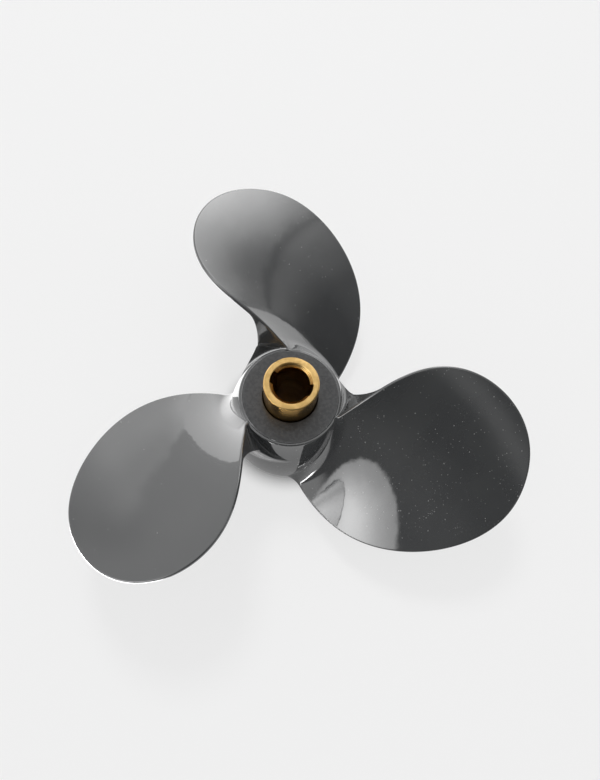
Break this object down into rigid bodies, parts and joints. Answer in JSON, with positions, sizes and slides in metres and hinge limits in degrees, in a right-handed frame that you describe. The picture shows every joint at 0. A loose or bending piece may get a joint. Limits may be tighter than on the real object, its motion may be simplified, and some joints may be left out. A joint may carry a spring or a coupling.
{
  "type": "boat propeller",
  "caption": "Right-hand outboard boat propeller: painted aluminium blades and hub on a slotted brass drive sleeve, with a rubber damper bush between.",
  "frame": {"origin": "on the shaft axis, where the blades' reference lines meet it, inside the shaft bore", "axes": "+Z along the shaft axis towards the aft end, and +Y along the first blade's reference line"},
  "size_m": [0.1728, 0.1649, 0.0551],
  "materials": {
    "paint": "glossy dark grey paint over die-cast aluminium",
    "rubber": "matt black moulded rubber",
    "brass": "turned brass"
  },
  "bodies": {
    "sleeve": {"drive_sleeve": "brass", "rubber_damper": "rubber"},
    "casting": {"propeller": "paint"}
  },
  "joints": [
    {"name": "wind_up", "type": "hinge", "parent": "sleeve", "child": "casting", "pos_m": [0, 0, 0], "axis": [0, 0, 1], "range_deg": [-10, 10], "stiffness_Nm_per_rad": 60}
  ]
}
